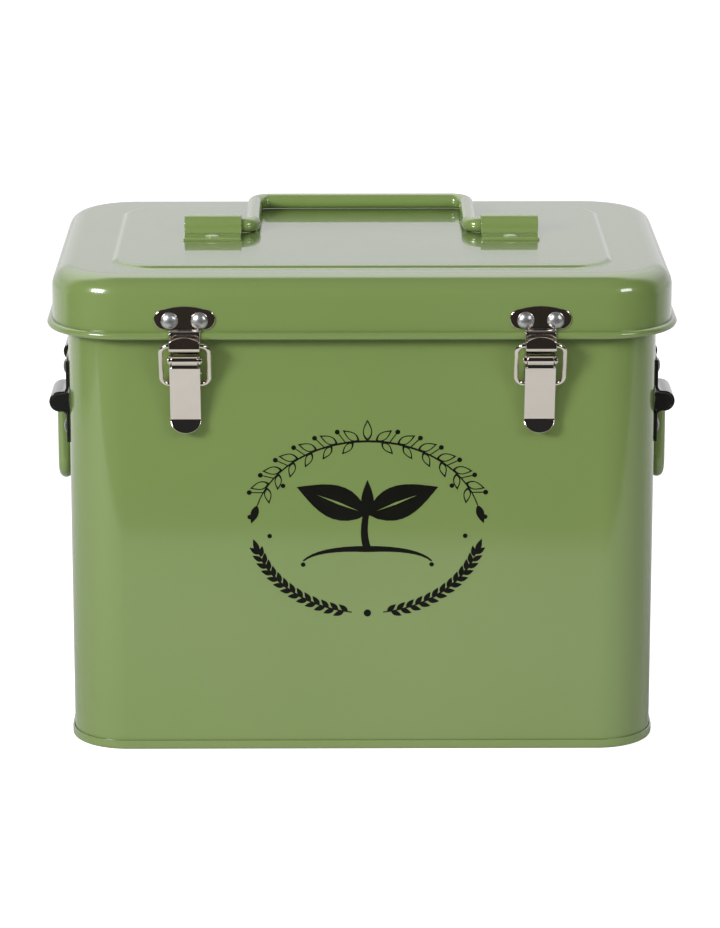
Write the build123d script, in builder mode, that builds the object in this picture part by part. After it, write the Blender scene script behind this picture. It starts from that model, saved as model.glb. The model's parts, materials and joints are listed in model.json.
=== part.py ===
from build123d import *
import os
from math import atan2, cos, degrees, hypot, radians, sin, sqrt

# Garden seed organizer box: an enamelled sheet-steel tin with an overhanging hinged lid, a folding
# wire handle on the lid, two toggle latches at the front and a drop handle on each end.
# Millimetres. The origin is the middle of the underside, +X is right, +Y is back, +Z is up.

# ---------------------------------------------------------------- driving dimensions
# Can
body_width = 237.7
body_depth = 153.0
body_corner = 22.8
wall_sheet = 0.8
rim_radius = 1.8
rim_inset = 0.15
seam_width = 8.0
seam_proud = 0.6
seam_setback = 0.5
pan_sheet = 0.8
pan_band = 3.9
pan_gap = 0.15
pan_edge_chamfer = 1.0

# Lid
lid_top = 198.6
lid_overhang = 6.1
lid_sheet = 0.8
lid_edge_radius = 9.1
skirt_depth = 23.6
hem_radius = 1.56
hem_proud = 2.3
panel_margin_x = 24.0
panel_margin_front = 14.8
panel_margin_rear = 23.0
panel_corner = 17.0
panel_rise = 1.1
panel_slope = 2.2
rest_gap = 0.4

# Rivets: heads, shanks and the holes for them have flat sides
rivet_fit = 0.05
rivet_sides = 12
flat_rivet_sides = 8
dome_shoulder = 0.6
dome_crown = 0.3
tail_height = 0.6
tail_extra = 0.8
keeper_rivet_radius = 3.45
keeper_rivet_dome = 2.0
keeper_shank_radius = 1.5
flat_rivet_radius = 2.4
flat_rivet_dome = 0.9
flat_shank_radius = 1.2
side_rivet_radius = 3.2
side_rivet_dome = 1.6
side_shank_radius = 1.5
lid_rivet_radius = 3.1
lid_rivet_dome = 0.9
lid_shank_radius = 1.5

# Round wire, the hem and the rim are drawn with flat sides
wire_sides = 12
thin_wire_sides = 8

# Lid handle and its saddle straps
grip_wire_radius = 3.15
grip_leg_x = 44.9
grip_reach = 52.5
grip_bend = 4.4
grip_corner = 6.5
grip_axis_height = 3.4
strap_sheet = 1.2
strap_clearance = 0.3
strap_root = 2.0
lid_strap_width = 23.7
lid_strap_half = 16.3
lid_strap_rivet = 12.0
lid_strap_start = 49.6
strap_end_gap = 1.0

# Drop handles on the ends and their saddle straps
drop_wire_radius = 2.75
drop_leg_y = 29.5
drop_length = 37.5
drop_bend = 4.5
drop_corner = 7.5
drop_axis_standoff = 3.85
drop_below_hem = 33.6
side_strap_width = 22.0
side_strap_half = 17.0
side_strap_rivet = 12.5
side_strap_start = 34.0

# Toggle latches: u is the distance out from the front wall, v the height above the lever's pin
latch_inset = 48.15
pin_u = 8.5
pin_below_hem = 9.4
bail_foot_u = 2.8
bail_foot_v = -11.1
bail_top_u = 10.6
bail_top_v = 6.2
bail_wire_radius = 0.95
bail_outer_width = 21.1
bail_corner = 3.4
bail_hole_fit = 0.1
lever_sheet = 0.8
lever_width = 12.3
lever_roll_width = 10.6
lever_lean = 15.0
lever_face_start = 2.6
lever_face_bend = 0.9
roll_joint = 1.2
lever_face_length = 26.2
lever_tip_length = 5.6
lever_tip_turn = 42.0
lever_tip_bend = 2.0
lever_tip_round = 4.8
lever_boss_radius = 1.8
flange_start = 6.2
flange_end = 18.0
flange_clearance = 0.2
flange_spread = 30.0
pin_radius = 1.15
pin_fit = 0.06
pin_head_radius = 1.6
pin_head_height = 0.5
ear_sheet = 0.8
ear_gap = 0.2
ear_radius = 2.1
ear_foot_low = -7.6
ear_foot_high = 2.2
base_sheet = 0.8
base_tongue_width = 9.6
base_tongue_length = 27.0
base_rivet_high = -16.0
base_rivet_low = -23.0
base_corner = 2.5

# Keepers: hook plates on the lid's skirt
keeper_sheet = 0.8
wing_width = 24.4
wing_height = 10.0
wing_above_hem = 7.0
wing_lobe_radius = 4.2
wing_lobe_drop = 0.4
keeper_rivet_spacing = 11.9
keeper_rivet_above_hem = 6.2
neck_width = 12.3
neck_turn_above_hem = 2.0
neck_bend = 0.9
neck_drop = 0.3
hem_gap = 0.15
hook_width = 3.9
hook_bottom_below_bail = 0.42
hook_bend = 1.0
lip_above_bail = 4.1
lip_sagitta = 2.1

# Hinges
hinge_inset = 48.85
hinge_width = 32.0
hinge_sheet = 1.0
hinge_axis_out = 4.2
hinge_below_hem = 5.5
hinge_pin_radius = 1.25
hinge_pin_fit = 0.05
knuckle_count = 3
knuckle_gap = 0.2
leaf_bend = 1.2
hinge_rivet_spacing = 18.0
body_leaf_length = 21.0
body_leaf_rivet_drop = 15.0
body_leaf_turn_low = 6.0
body_leaf_turn_high = 2.6
lid_leaf_length = 20.0
lid_leaf_rivet_rise = 15.5
lid_leaf_turn = 3.4
lid_leaf_step_low = 2.0
lid_leaf_step_high = 3.9

# How far the cutting shapes reach past what they cut
cut_margin = 1.0

# Inside: one fixed partition and one sliding divider in each bay
partition_sheet = 0.8
partition_below_rim = 43.0
partition_flange = 10.0
partition_hem = 6.0
divider_sheet = 0.8
divider_below_partition = 12.0
divider_side_gap = 1.5
divider_floor_gap = 0.15
divider_foot = 22.0
divider_corner = 12.0
divider_foot_chamfer = 14.0
divider_bend = 1.6

# ---------------------------------------------------------------- places that follow from them
SIDES = (("left", -1), ("right", 1))
ENDS = (("front", -1), ("rear", 1))

front_wall = body_depth / 2
side_wall = body_width / 2
latch_x = side_wall - latch_inset
hinge_x = side_wall - hinge_inset
lid_width = body_width + 2 * lid_overhang
lid_depth = body_depth + 2 * lid_overhang
lid_corner = body_corner + lid_overhang
hem_z = lid_top - skirt_depth
panel_top = lid_top + panel_rise
panel_width = lid_width - 2 * panel_margin_x
panel_depth = lid_depth - panel_margin_front - panel_margin_rear
panel_y = (panel_margin_front - panel_margin_rear) / 2

lid_inner_top = lid_top - lid_sheet
inner_edge_radius = lid_edge_radius - lid_sheet
rim_offset = rim_radius - wall_sheet - rim_inset
rim_to_arc = rim_offset - lid_overhang + lid_sheet + inner_edge_radius
rest_reach = inner_edge_radius - rim_radius - rest_gap
rim_z = lid_inner_top - inner_edge_radius + sqrt(rest_reach**2 - rim_to_arc**2)

pin_z = hem_z - pin_below_hem
drop_axis_z = hem_z - drop_below_hem
drop_axis_x = side_wall + drop_axis_standoff
grip_axis_z = panel_top + grip_axis_height
hinge_axis_y = front_wall + hinge_axis_out
hinge_axis_z = hem_z - hinge_below_hem
partition_top = rim_z - partition_below_rim
divider_top = partition_top - divider_below_partition


def front_point(out, height):
    """A point in a plane across X, given its distance out from the front wall and its height."""
    return (-front_wall - out, height)


def sheet_strip(points, radii, thickness, side):
    """The edge view of a bent sheet: the line along one face, thickened to one side."""
    with BuildSketch() as strip:
        with BuildLine():
            FilletPolyline(*points, radius=radii)
            offset(amount=thickness, side=side)
        make_face()
    return strip.sketch


def wire_along(path, start, direction, radius, sides):
    """A wire swept along a path that starts at a point in a direction."""
    with BuildPart() as wire:
        with BuildSketch(Plane(origin=start, z_dir=direction)):
            RegularPolygon(radius, sides)
        sweep(path=path)
    return wire.part


def loop_wire(plane, width, height, corner, radius, sides):
    """A closed wire along a rounded rectangle."""
    with BuildSketch(plane) as outline:
        RectangleRounded(width, height, corner)
    path = outline.sketch.face().outer_wire()
    start = plane.from_local_coords(Vector(0, -height / 2, 0))
    return wire_along(path, start, plane.x_dir, radius, sides)


def rivet(head_radius, dome, shank_radius, grip, sides):
    """A rivet on the Z axis: the head stands on Z = 0 and the shank goes down through the grip."""
    sphere = (head_radius**2 + dome**2) / (2 * dome)
    shoulder_z = dome * dome_shoulder
    shoulder_radius = sqrt(sphere**2 - (sphere - dome + shoulder_z) ** 2)
    head = ((0, head_radius), (shoulder_z, shoulder_radius), (dome, head_radius * dome_crown))
    tail = ((-grip, shank_radius + tail_extra), (-grip - tail_height, shank_radius))
    with BuildPart() as body:
        for height, radius in head:
            with BuildSketch(Plane.XY.offset(height)):
                RegularPolygon(radius, sides)
        loft(ruled=True)
        with BuildSketch():
            RegularPolygon(shank_radius, sides)
        extrude(amount=-grip)
        for height, radius in tail:
            with BuildSketch(Plane.XY.offset(height)):
                RegularPolygon(radius, sides)
        loft(ruled=True)
    return body.part


def rivet_set(name, body, planes):
    """Equal rivets, one on each plane, as one group of separate solids."""
    with BuildPart() as rivets:
        with Locations(*planes):
            add(body)
    save(rivets.part, name)


def save(part, name):
    """Label a finished piece and write it to its own file."""
    part.label = name
    export_step(part, f"parts/{name}.step")


os.makedirs("parts", exist_ok=True)

# ---------------------------------------------------------------- where the rivets are
keeper_rivet_z = hem_z + keeper_rivet_above_hem
keeper_rivet_points = [
    (side * latch_x + end * keeper_rivet_spacing / 2, keeper_rivet_z)
    for _, side in SIDES
    for end in (-1, 1)
]
latch_rivet_points = [
    (side * latch_x, pin_z + height) for _, side in SIDES for height in (base_rivet_high, base_rivet_low)
]
side_rivet_points = [
    (end * (side_strap_start + side_strap_width / 2), drop_axis_z + rise)
    for _, end in ENDS
    for rise in (-side_strap_rivet, side_strap_rivet)
]
lid_rivet_points = [
    (side * (lid_strap_start + lid_strap_width / 2), end * lid_strap_rivet)
    for _, side in SIDES
    for _, end in ENDS
]
hinge_rivet_x = [
    side * hinge_x + end * hinge_rivet_spacing / 2 for _, side in SIDES for end in (-1, 1)
]
body_leaf_rivet_z = hinge_axis_z - body_leaf_rivet_drop
lid_leaf_rivet_z = hinge_axis_z + lid_leaf_rivet_rise

# ---------------------------------------------------------------- can
# The wall is one band of sheet, lapped at the back, with its top edge curled outward.
with BuildPart() as body_wall:
    with BuildSketch(Plane.XY.offset(pan_sheet)):
        RectangleRounded(body_width, body_depth, body_corner)
        RectangleRounded(
            body_width - 2 * wall_sheet,
            body_depth - 2 * wall_sheet,
            body_corner - wall_sheet,
            mode=Mode.SUBTRACT,
        )
    extrude(amount=rim_z - pan_sheet)
    with BuildSketch(Plane.XY.offset(pan_band + seam_setback)):
        with Locations((0, front_wall + seam_proud / 2 - wall_sheet / 4)):
            Rectangle(seam_width, seam_proud + wall_sheet / 2)
    extrude(amount=rim_z - pan_band - seam_setback)
    add(
        loop_wire(
            Plane.XY.offset(rim_z),
            body_width + 2 * rim_offset,
            body_depth + 2 * rim_offset,
            body_corner + rim_offset,
            rim_radius,
            wire_sides,
        )
    )
    with BuildSketch(Plane.XZ.offset(front_wall)):
        with Locations(*latch_rivet_points):
            RegularPolygon(flat_shank_radius + rivet_fit, flat_rivet_sides)
    extrude(amount=-2 * wall_sheet, mode=Mode.SUBTRACT)
    with BuildSketch(Plane.XZ.offset(-front_wall)):
        with Locations(*[(x, body_leaf_rivet_z) for x in hinge_rivet_x]):
            RegularPolygon(flat_shank_radius + rivet_fit, flat_rivet_sides)
    extrude(amount=2 * wall_sheet, mode=Mode.SUBTRACT)
    with BuildSketch(Plane.YZ.offset(-side_wall - wall_sheet)):
        with Locations(*side_rivet_points):
            RegularPolygon(side_shank_radius + rivet_fit, rivet_sides)
    extrude(amount=body_width + 2 * wall_sheet, mode=Mode.SUBTRACT)
save(body_wall.part, "body_wall")

# The bottom is a shallow pan whose edge is turned up outside the wall.
with BuildPart() as bottom_pan:
    with BuildSketch():
        RectangleRounded(
            body_width + 2 * (pan_gap + pan_sheet),
            body_depth + 2 * (pan_gap + pan_sheet),
            body_corner + pan_gap + pan_sheet,
        )
    extrude(amount=pan_band)
    chamfer(bottom_pan.faces().sort_by(Axis.Z)[0].edges(), pan_edge_chamfer)
    with BuildSketch(Plane.XY.offset(pan_sheet)):
        RectangleRounded(body_width + 2 * pan_gap, body_depth + 2 * pan_gap, body_corner + pan_gap)
    extrude(amount=pan_band, mode=Mode.SUBTRACT)
save(bottom_pan.part, "bottom_pan")

# ---------------------------------------------------------------- inside
# The partition stands across the middle, front to back, and is spot-welded by its end flanges.
partition_reach = front_wall - wall_sheet
with BuildPart() as partition:
    with BuildSketch(Plane.XY.offset(pan_sheet)):
        Rectangle(partition_sheet, 2 * partition_reach)
        for _, end in ENDS:
            with Locations((partition_flange / 2 - partition_sheet / 2, end * partition_reach)):
                Rectangle(
                    partition_flange,
                    partition_sheet,
                    align=(Align.CENTER, Align.MIN if end < 0 else Align.MAX),
                )
    extrude(amount=partition_top - pan_sheet)
    with BuildSketch(Plane.XZ.offset(partition_reach - partition_flange)):
        with Locations((-partition_sheet / 2, partition_top)):
            Rectangle(partition_sheet, partition_hem, align=(Align.MAX, Align.MAX))
    extrude(amount=-2 * (partition_reach - partition_flange))
    hem_edges = partition.edges().filter_by(Axis.Y).group_by(Axis.Z)[-1]
    fillet(hem_edges.sort_by(Axis.X)[0], partition_sheet / 2)
save(partition.part, "partition")

# Each divider is one sheet bent to an L, standing on its foot, free to slide front to back.
divider_inner = partition_sheet / 2 + partition_sheet + divider_side_gap
divider_outer = side_wall - wall_sheet - divider_side_gap
for side_name, side in SIDES:
    divider_floor = pan_sheet + divider_floor_gap
    with BuildPart() as divider:
        with BuildSketch(Plane.YZ.offset(side * divider_inner)):
            add(
                sheet_strip(
                    [(-divider_foot, divider_floor), (0, divider_floor), (0, divider_top)],
                    divider_bend,
                    divider_sheet,
                    Side.LEFT,
                )
            )
        extrude(amount=side * (divider_outer - divider_inner))
        top_corners = divider.edges().filter_by(Axis.Y).group_by(Axis.Z)[-1]
        fillet(top_corners, divider_corner)
        foot_corners = divider.edges().filter_by(Axis.Z).group_by(Axis.Y)[0]
        chamfer(foot_corners, divider_foot_chamfer)
    save(divider.part, f"divider_{side_name}")

# ---------------------------------------------------------------- lid
# The lid is drawn from one sheet: rounded top edge, raised panel, and a hem curled round a wire.
panel_taper = degrees(atan2(panel_slope, panel_rise))
with BuildPart() as lid_hollow:
    with BuildSketch(Plane.XY.offset(hem_z)):
        RectangleRounded(lid_width - 2 * lid_sheet, lid_depth - 2 * lid_sheet, lid_corner - lid_sheet)
    extrude(amount=skirt_depth - lid_sheet)
    fillet(lid_hollow.faces().sort_by(Axis.Z)[-1].edges(), inner_edge_radius)
    with BuildSketch(Plane.XY.offset(lid_inner_top)):
        with Locations((0, panel_y)):
            RectangleRounded(
                panel_width - lid_sheet, panel_depth - lid_sheet, panel_corner - lid_sheet / 2
            )
    extrude(amount=panel_rise, taper=panel_taper)

with BuildPart() as lid_shell:
    with BuildSketch(Plane.XY.offset(hem_z)):
        RectangleRounded(lid_width, lid_depth, lid_corner)
    extrude(amount=skirt_depth)
    fillet(lid_shell.faces().sort_by(Axis.Z)[-1].edges(), lid_edge_radius)
    with BuildSketch(Plane.XY.offset(lid_top)):
        with Locations((0, panel_y)):
            RectangleRounded(panel_width, panel_depth, panel_corner)
    extrude(amount=panel_rise, taper=panel_taper)
    add(lid_hollow.part, mode=Mode.SUBTRACT)
    add(
        loop_wire(
            Plane.XY.offset(hem_z),
            lid_width + 2 * (hem_proud - hem_radius),
            lid_depth + 2 * (hem_proud - hem_radius),
            lid_corner + hem_proud - hem_radius,
            hem_radius,
            wire_sides,
        )
    )
    with BuildSketch(Plane.XZ.offset(lid_depth / 2)):
        with Locations(*keeper_rivet_points):
            RegularPolygon(keeper_shank_radius + rivet_fit, rivet_sides)
    extrude(amount=-2 * lid_sheet, mode=Mode.SUBTRACT)
    with BuildSketch(Plane.XZ.offset(-lid_depth / 2)):
        with Locations(*[(x, lid_leaf_rivet_z) for x in hinge_rivet_x]):
            RegularPolygon(flat_shank_radius + rivet_fit, flat_rivet_sides)
    extrude(amount=2 * lid_sheet, mode=Mode.SUBTRACT)
    with BuildSketch(Plane.XY.offset(panel_top)):
        with Locations(*lid_rivet_points):
            RegularPolygon(lid_shank_radius + rivet_fit, rivet_sides)
    extrude(amount=-2 * lid_sheet, mode=Mode.SUBTRACT)
save(lid_shell.part, "lid_shell")


# ---------------------------------------------------------------- saddle straps
def saddle_profile(wire_radius, axis_height, half_length):
    """Edge view of a strap over a wire: two flat flanges and a round hump, on the line Y = 0."""
    inner = wire_radius + strap_clearance
    outer = inner + strap_sheet
    with BuildSketch() as profile:
        Rectangle(2 * half_length, strap_sheet, align=(Align.CENTER, Align.MIN))
        with Locations((0, axis_height)):
            Circle(outer)
        Rectangle(2 * outer, axis_height, align=(Align.CENTER, Align.MIN))
        with Locations((0, axis_height)):
            Circle(inner, mode=Mode.SUBTRACT)
        Rectangle(2 * inner, axis_height, align=(Align.CENTER, Align.MIN), mode=Mode.SUBTRACT)
        Rectangle(2 * outer, outer, align=(Align.CENTER, Align.MAX), mode=Mode.SUBTRACT)
        roots = [v for v in profile.vertices() if abs(v.Y - strap_sheet) < 0.01 and abs(v.X) < half_length - 1]
        fillet(roots, strap_root)
    return profile.sketch


# On the lid the straps run front to back, across the handle's turned-out ends.
lid_strap_profile = saddle_profile(grip_wire_radius, grip_axis_height, lid_strap_half)
for side_name, side in SIDES:
    strap_plane = Plane(origin=(side * lid_strap_start, 0, panel_top), x_dir=(0, 1, 0), z_dir=(1, 0, 0))
    with BuildPart() as lid_strap:
        with BuildSketch(strap_plane):
            add(lid_strap_profile)
        extrude(amount=side * lid_strap_width)
        with BuildSketch(Plane.XY.offset(panel_top)):
            with Locations(*lid_rivet_points):
                RegularPolygon(lid_shank_radius + rivet_fit, rivet_sides)
        extrude(amount=strap_sheet, mode=Mode.SUBTRACT)
    save(lid_strap.part, f"lid_handle_bracket_{side_name}")

rivet_set(
    "lid_bracket_rivets",
    rivet(lid_rivet_radius, lid_rivet_dome, lid_shank_radius, strap_sheet + lid_sheet, rivet_sides),
    [Plane(origin=(x, y, panel_top + strap_sheet), z_dir=(0, 0, 1)) for x, y in lid_rivet_points],
)

# On the ends of the can they run up and down.
side_strap_profile = saddle_profile(drop_wire_radius, drop_axis_standoff, side_strap_half)
for side_name, side in SIDES:
    for end_name, end in ENDS:
        strap_plane = Plane(
            origin=(side * side_wall, end * side_strap_start, drop_axis_z),
            x_dir=(0, 0, side * end),
            z_dir=(0, end, 0),
        )
        with BuildPart() as side_strap:
            with BuildSketch(strap_plane):
                add(side_strap_profile)
            extrude(amount=side_strap_width)
            with BuildSketch(Plane.YZ.offset(side * side_wall)):
                with Locations(*side_rivet_points):
                    RegularPolygon(side_shank_radius + rivet_fit, rivet_sides)
            extrude(amount=side * strap_sheet, mode=Mode.SUBTRACT)
        save(side_strap.part, f"side_bracket_{side_name}_{end_name}")

rivet_set(
    "side_bracket_rivets",
    rivet(side_rivet_radius, side_rivet_dome, side_shank_radius, strap_sheet + wall_sheet, rivet_sides),
    [
        Plane(origin=(side * (side_wall + strap_sheet), y, z), z_dir=(side, 0, 0))
        for _, side in SIDES
        for y, z in side_rivet_points
    ],
)

# ---------------------------------------------------------------- wire handles
# The lid handle lies folded to the back. Its ends turn outward and lie in the straps.
grip_end = lid_strap_start + lid_strap_width - strap_end_gap
with BuildLine() as grip_path:
    FilletPolyline(
        (-grip_end, 0, grip_axis_z),
        (-grip_leg_x, 0, grip_axis_z),
        (-grip_leg_x, grip_reach, grip_axis_z),
        (grip_leg_x, grip_reach, grip_axis_z),
        (grip_leg_x, 0, grip_axis_z),
        (grip_end, 0, grip_axis_z),
        radius=[grip_bend, grip_corner, grip_corner, grip_bend],
    )
grip = wire_along(
    grip_path.wire(), (-grip_end, 0, grip_axis_z), (1, 0, 0), grip_wire_radius, wire_sides
)
save(grip, "lid_handle")

# The drop handles hang against the ends of the can.
drop_end = side_strap_start + side_strap_width - strap_end_gap
for side_name, side in SIDES:
    hang_x = side * drop_axis_x
    with BuildLine() as drop_path:
        FilletPolyline(
            (hang_x, -drop_end, drop_axis_z),
            (hang_x, -drop_leg_y, drop_axis_z),
            (hang_x, -drop_leg_y, drop_axis_z - drop_length),
            (hang_x, drop_leg_y, drop_axis_z - drop_length),
            (hang_x, drop_leg_y, drop_axis_z),
            (hang_x, drop_end, drop_axis_z),
            radius=[drop_bend, drop_corner, drop_corner, drop_bend],
        )
    drop_wire = wire_along(
        drop_path.wire(), (hang_x, -drop_end, drop_axis_z), (0, 1, 0), drop_wire_radius, wire_sides
    )
    save(drop_wire, f"side_handle_{side_name}")

# ---------------------------------------------------------------- keepers
# A winged plate lies on the skirt, its neck steps out over the hem and curls into a hook.
bail_top_z = pin_z + bail_top_v
neck_inner = lid_overhang + hem_proud + hem_gap
neck_outer = neck_inner + keeper_sheet
lip_inner = neck_outer + hook_width
hook_floor = bail_top_z - bail_wire_radius - hook_bottom_below_bail
wing_z = hem_z + wing_above_hem
lobe_x = wing_width / 2 - wing_lobe_radius
lobe_z = wing_z - wing_lobe_drop
neck_turn_z = hem_z + neck_turn_above_hem
lip_top = bail_top_z + lip_above_bail
lip_radius = ((neck_width / 2) ** 2 + lip_sagitta**2) / (2 * lip_sagitta)
for side_name, side in SIDES:
    keeper_x = side * latch_x
    with BuildPart() as keeper:
        with BuildSketch(Plane.YZ.offset(keeper_x - neck_width / 2)):
            add(
                sheet_strip(
                    [
                        front_point(lid_overhang, wing_z),
                        front_point(lid_overhang, neck_turn_z),
                        front_point(neck_inner, neck_turn_z - neck_drop),
                        front_point(neck_inner, hook_floor - keeper_sheet),
                        front_point(lip_inner + keeper_sheet, hook_floor - keeper_sheet),
                        front_point(lip_inner + keeper_sheet, lip_top),
                    ],
                    [neck_bend, neck_bend, hook_bend + keeper_sheet, hook_bend + keeper_sheet],
                    keeper_sheet,
                    Side.RIGHT,
                )
            )
        extrude(amount=neck_width)
        with BuildSketch(Plane.XZ.offset(front_wall + neck_outer)):
            with Locations((keeper_x, lip_top + cut_margin)):
                Rectangle(
                    neck_width + 2 * cut_margin,
                    2 * lip_sagitta + 2 * cut_margin,
                    align=(Align.CENTER, Align.MAX),
                )
            with Locations((keeper_x, lip_top - lip_radius)):
                Circle(lip_radius, mode=Mode.SUBTRACT)
        extrude(amount=hook_width + 2 * keeper_sheet, mode=Mode.SUBTRACT)
        with BuildSketch(Plane.XZ.offset(front_wall + lid_overhang)):
            with Locations((keeper_x, wing_z)):
                Ellipse(wing_width / 2, wing_height / 2)
            with Locations((keeper_x - lobe_x, lobe_z), (keeper_x + lobe_x, lobe_z)):
                Circle(wing_lobe_radius)
        extrude(amount=keeper_sheet)
        with BuildSketch(Plane.XZ.offset(front_wall + lid_overhang)):
            with Locations(*keeper_rivet_points):
                RegularPolygon(keeper_shank_radius + rivet_fit, rivet_sides)
        extrude(amount=keeper_sheet, mode=Mode.SUBTRACT)
    save(keeper.part, f"keeper_{side_name}")

rivet_set(
    "keeper_rivets",
    rivet(
        keeper_rivet_radius, keeper_rivet_dome, keeper_shank_radius, keeper_sheet + lid_sheet, rivet_sides
    ),
    [
        Plane(origin=(x, -front_wall - lid_overhang - keeper_sheet, z), z_dir=(0, -1, 0))
        for x, z in keeper_rivet_points
    ],
)

# ---------------------------------------------------------------- toggle latches
# The base plate is riveted to the wall and carries the lever's pin in two ears.
ear_inner = lever_roll_width / 2 + ear_gap
ear_outer = ear_inner + ear_sheet
for side_name, side in SIDES:
    base_x = side * latch_x
    with BuildPart() as latch_base:
        with BuildSketch(Plane.XZ.offset(front_wall)):
            with Locations((base_x, pin_z + ear_foot_high)):
                Rectangle(2 * ear_outer, ear_foot_high - ear_foot_low, align=(Align.CENTER, Align.MAX))
                Rectangle(base_tongue_width, base_tongue_length, align=(Align.CENTER, Align.MAX))
        extrude(amount=base_sheet)
        lower_corners = latch_base.edges().filter_by(Axis.Y).group_by(Axis.Z)[0]
        fillet(lower_corners, base_corner)
        for ear_side in (-1, 1):
            with BuildSketch(Plane.YZ.offset(base_x + ear_side * ear_inner)):
                with Locations(front_point(pin_u, pin_z)):
                    Circle(ear_radius)
                with BuildLine():
                    Polyline(
                        front_point(0, pin_z + ear_foot_high),
                        front_point(pin_u, pin_z + ear_radius),
                        front_point(pin_u, pin_z - ear_radius),
                        front_point(0, pin_z + ear_foot_low),
                        close=True,
                    )
                make_face()
            extrude(amount=ear_side * ear_sheet)
        with BuildSketch(Plane.YZ.offset(base_x - ear_outer)):
            with Locations(front_point(pin_u, pin_z)):
                Circle(pin_radius + pin_fit)
        extrude(amount=2 * ear_outer, mode=Mode.SUBTRACT)
        with BuildSketch(Plane.XZ.offset(front_wall)):
            with Locations(*latch_rivet_points):
                RegularPolygon(flat_shank_radius + rivet_fit, flat_rivet_sides)
        extrude(amount=base_sheet, mode=Mode.SUBTRACT)
    save(latch_base.part, f"latch_base_{side_name}")

rivet_set(
    "latch_rivets",
    rivet(
        flat_rivet_radius, flat_rivet_dome, flat_shank_radius, base_sheet + wall_sheet, flat_rivet_sides
    ),
    [Plane(origin=(x, -front_wall - base_sheet, z), z_dir=(0, -1, 0)) for x, z in latch_rivet_points],
)

# The pin is peened over outside both ears.
for side_name, side in SIDES:
    pin_y, pin_height = front_point(pin_u, pin_z)
    with BuildPart() as latch_pin:
        with BuildSketch(Plane.YZ.offset(side * latch_x - ear_outer)):
            with Locations((pin_y, pin_height)):
                Circle(pin_radius)
        extrude(amount=2 * ear_outer)
        for head_side in (-1, 1):
            with BuildSketch(Plane.YZ.offset(side * latch_x + head_side * (ear_outer + pin_fit))):
                with Locations((pin_y, pin_height)):
                    RegularPolygon(pin_head_radius, rivet_sides)
            extrude(amount=head_side * pin_head_height)
        with BuildSketch(Plane.YZ.offset(side * latch_x - ear_outer - pin_fit)):
            with Locations((pin_y, pin_height)):
                Circle(pin_radius)
        extrude(amount=2 * (ear_outer + pin_fit))
    save(latch_pin.part, f"latch_pin_{side_name}")

# The lever's sheet is rolled round the pin, leans to the wall below it, and its tip turns out to
# be lifted by a finger. Two side flanges hold the bail's lower run.
roll_inner = pin_radius + pin_fit
roll_outer = roll_inner + lever_sheet
lean = radians(lever_lean)
tip_turn = radians(lever_tip_turn - lever_lean)


def lever_point(along, out):
    """A point given along the lever's face from the pin and out from the pin's line."""
    return front_point(
        pin_u - along * sin(lean) + out * cos(lean), pin_z - along * cos(lean) - out * sin(lean)
    )


def lever_tip_point():
    """The end of the turned-out tip, on the face's outer side."""
    y, z = lever_point(lever_face_length, roll_outer)
    return (y - lever_tip_length * sin(tip_turn), z - lever_tip_length * cos(tip_turn))


bail_foot_z = pin_z + bail_foot_v
flange_x = lever_width / 2
flange_out = roll_inner + flange_clearance
boss_u = bail_foot_u - lever_boss_radius * sin(radians(flange_spread))
boss_rise = lever_boss_radius * cos(radians(flange_spread))
for side_name, side in SIDES:
    lever_x = side * latch_x
    face_line = [
        lever_point(roll_joint, roll_joint),
        lever_point(lever_face_start, roll_outer),
        lever_point(lever_face_length, roll_outer),
        lever_tip_point(),
    ]
    with BuildPart() as lever:
        with BuildSketch(Plane.YZ.offset(lever_x - lever_width / 2)):
            add(sheet_strip(face_line, [lever_face_bend, lever_tip_bend], lever_sheet, Side.LEFT))
        extrude(amount=lever_width)
        for notch_side in (-1, 1):
            notch_x = lever_x + notch_side * lever_roll_width / 2
            with BuildSketch(Plane.YZ.offset(notch_x)):
                with BuildLine():
                    Polyline(
                        lever_point(-roll_outer, roll_outer + cut_margin),
                        lever_point(lever_face_start, roll_outer + cut_margin),
                        lever_point(lever_face_start, 0),
                        lever_point(-roll_outer, 0),
                        close=True,
                    )
                make_face()
            extrude(amount=notch_side * lever_width, mode=Mode.SUBTRACT)
        with BuildSketch(Plane.YZ.offset(lever_x - lever_roll_width / 2)):
            with Locations(front_point(pin_u, pin_z)):
                Circle(roll_outer)
                Circle(roll_inner, mode=Mode.SUBTRACT)
        extrude(amount=lever_roll_width)
        for flange_side in (-1, 1):
            with BuildSketch(Plane.YZ.offset(lever_x + flange_side * flange_x)):
                with BuildLine():
                    Polyline(
                        lever_point(flange_start, flange_out),
                        front_point(boss_u, bail_foot_z + boss_rise),
                        front_point(boss_u, bail_foot_z - boss_rise),
                        lever_point(flange_end, flange_out),
                        close=True,
                    )
                make_face()
                with Locations(front_point(bail_foot_u, bail_foot_z)):
                    Circle(lever_boss_radius)
                    Circle(bail_wire_radius + bail_hole_fit, mode=Mode.SUBTRACT)
            extrude(amount=-flange_side * lever_sheet)
        tip_y, tip_z = lever_tip_point()
        with BuildSketch(Plane.XZ.offset(front_wall)):
            with Locations((lever_x, tip_z - cut_margin)):
                Rectangle(2 * lever_width, lever_tip_round + cut_margin, align=(Align.CENTER, Align.MIN))
            with Locations((lever_x, tip_z + lever_tip_round)):
                Ellipse(lever_width / 2, lever_tip_round, mode=Mode.SUBTRACT)
        extrude(amount=2 * pin_u, mode=Mode.SUBTRACT)
    save(lever.part, f"latch_lever_{side_name}")

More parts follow.
